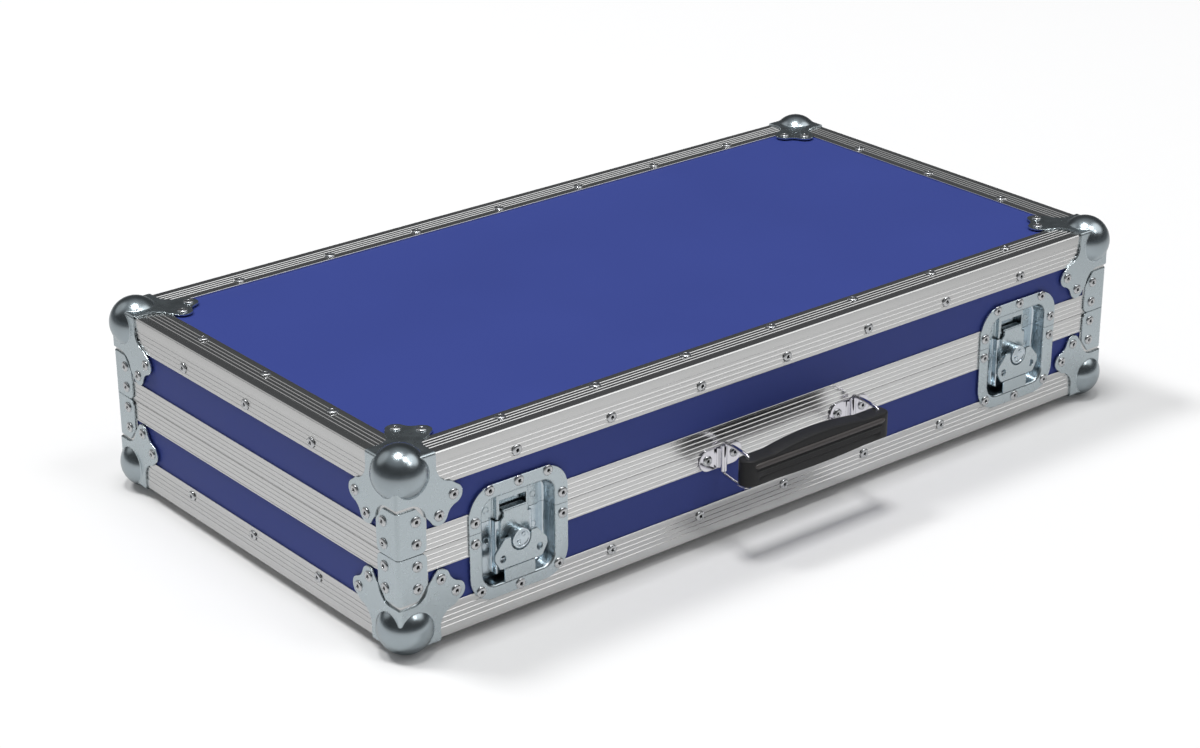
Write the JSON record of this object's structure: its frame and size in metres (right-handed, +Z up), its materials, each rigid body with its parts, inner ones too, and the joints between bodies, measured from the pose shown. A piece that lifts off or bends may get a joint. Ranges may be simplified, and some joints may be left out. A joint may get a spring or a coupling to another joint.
{
  "type": "lighting console flight case",
  "caption": "Shallow plywood flight case for a lighting console, edged in ribbed aluminium, with hinged lid, recessed turn latches, ball corners and a folding handle.",
  "frame": {"origin": "middle of the part's box at the floor, under the lower ball corners that it stands on", "axes": "+X along the long side to the right as seen from the handle, +Y from the handle and latches to the hinges, +Z up"},
  "size_m": [0.8936, 0.5168, 0.1936],
  "materials": {
    "blue_laminate": "blue phenolic laminate on birch plywood, fine orange-peel grain, satin",
    "aluminium_section": "extruded and clear anodised, fine lengthwise draw lines, ribbed",
    "zinc_steel": "pressed sheet steel, bright blue-white zinc plate",
    "plated_steel": "turned or drawn steel, bright zinc plate",
    "black_grip": "moulded black plastic, matt with a fine spark texture",
    "foam": "charcoal open-cell packing foam"
  },
  "bodies": {
    "base": {"base_ball_corners": "zinc_steel", "base_braces": "zinc_steel", "base_closer_back": "aluminium_section", "base_closer_front": "aluminium_section", "base_closer_left": "aluminium_section", "base_closer_right": "aluminium_section", "base_corner_angles": "aluminium_section", "base_edge_back": "aluminium_section", "base_edge_front": "aluminium_section", "base_edge_left": "aluminium_section", "base_edge_right": "aluminium_section", "base_floor_foam": "foam", "base_floor_panel": "blue_laminate", "base_foam_liner": "foam", "base_wall_back": "blue_laminate", "base_wall_front": "blue_laminate", "base_wall_left": "blue_laminate", "base_wall_right": "blue_laminate", "handle_brackets": "zinc_steel", "hinge_base_leaves": "zinc_steel", "hinge_pins": "plated_steel", "latch_left_bed_plate": "zinc_steel", "latch_left_dish": "zinc_steel", "latch_right_bed_plate": "zinc_steel", "latch_right_dish": "zinc_steel"},
    "lid": {"hinge_lid_leaves": "zinc_steel", "latch_left_strike_dish": "zinc_steel", "latch_left_strike_plate": "zinc_steel", "latch_right_strike_dish": "zinc_steel", "latch_right_strike_plate": "zinc_steel", "lid_ball_corners": "zinc_steel", "lid_braces": "zinc_steel", "lid_closer_back": "aluminium_section", "lid_closer_front": "aluminium_section", "lid_closer_left": "aluminium_section", "lid_closer_right": "aluminium_section", "lid_corner_angles": "aluminium_section", "lid_edge_back": "aluminium_section", "lid_edge_front": "aluminium_section", "lid_edge_left": "aluminium_section", "lid_edge_right": "aluminium_section", "lid_foam": "foam", "lid_top_panel": "blue_laminate", "lid_wall_back": "blue_laminate", "lid_wall_front": "blue_laminate", "lid_wall_left": "blue_laminate", "lid_wall_right": "blue_laminate"},
    "latch_left_turning": {"latch_left_spindle": "plated_steel", "latch_left_wing_pin": "plated_steel"},
    "latch_left_wing": {"latch_left_wing": "zinc_steel"},
    "latch_left_hook": {"latch_left_hook": "zinc_steel"},
    "latch_right_turning": {"latch_right_spindle": "plated_steel", "latch_right_wing_pin": "plated_steel"},
    "latch_right_wing": {"latch_right_wing": "zinc_steel"},
    "latch_right_hook": {"latch_right_hook": "zinc_steel"},
    "handle_left_loop": {"handle_loop_left": "plated_steel"},
    "handle_right_loop": {"handle_loop_right": "plated_steel"},
    "handle_grip": {"handle_grip": "black_grip"}
  },
  "joints": [
    {"name": "lid_hinge", "type": "hinge", "parent": "base", "child": "lid", "pos_m": [0, 0.2529, 0.0968], "axis": [-1, 0, 0], "range_deg": [0, 100]},
    {"name": "latch_left_turn", "type": "hinge", "parent": "base", "child": "latch_left_turning", "pos_m": [-0.3112, -0.2054, 0.0793], "axis": [0, -1, 0], "range_deg": [0, 180]},
    {"name": "latch_left_wing_fold", "type": "hinge", "parent": "latch_left_turning", "child": "latch_left_wing", "pos_m": [-0.3112, -0.2063, 0.0793], "axis": [-1, 0, 0], "range_deg": [0, 90]},
    {"name": "latch_left_hook_lift", "type": "slide", "parent": "base", "child": "latch_left_hook", "axis": [0, 0, 1], "range_m": [0, 0.00801]},
    {"name": "latch_right_turn", "type": "hinge", "parent": "base", "child": "latch_right_turning", "pos_m": [0.3112, -0.2054, 0.0793], "axis": [0, -1, 0], "range_deg": [0, 180]},
    {"name": "latch_right_wing_fold", "type": "hinge", "parent": "latch_right_turning", "child": "latch_right_wing", "pos_m": [0.3112, -0.2063, 0.0793], "axis": [-1, 0, 0], "range_deg": [0, 90]},
    {"name": "latch_right_hook_lift", "type": "slide", "parent": "base", "child": "latch_right_hook", "axis": [0, 0, 1], "range_m": [0, 0.00801]},
    {"name": "handle_left_swing", "type": "hinge", "parent": "base", "child": "handle_left_loop", "pos_m": [-0.081, -0.2104, 0.0858], "axis": [0, 0, 1], "range_deg": [-62, 74]},
    {"name": "handle_grip_swing", "type": "hinge", "parent": "handle_left_loop", "child": "handle_grip", "pos_m": [-0.08497, -0.2482, 0.0858], "axis": [0, 0, 1], "range_deg": [-74, 62]},
    {"name": "handle_right_swing", "type": "hinge", "parent": "base", "child": "handle_right_loop", "pos_m": [0.081, -0.2104, 0.0858], "axis": [0, 0, 1], "range_deg": [-62, 74]}
  ],
  "couplings": [
    {"joint": "latch_left_hook_lift", "follows": "latch_left_turn", "m_per_rad": 0.0025465},
    {"joint": "latch_right_hook_lift", "follows": "latch_right_turn", "m_per_rad": 0.0025465},
    {"joint": "handle_grip_swing", "follows": "handle_left_swing", "ratio": -1},
    {"joint": "handle_right_swing", "follows": "handle_left_swing", "ratio": 1}
  ]
}
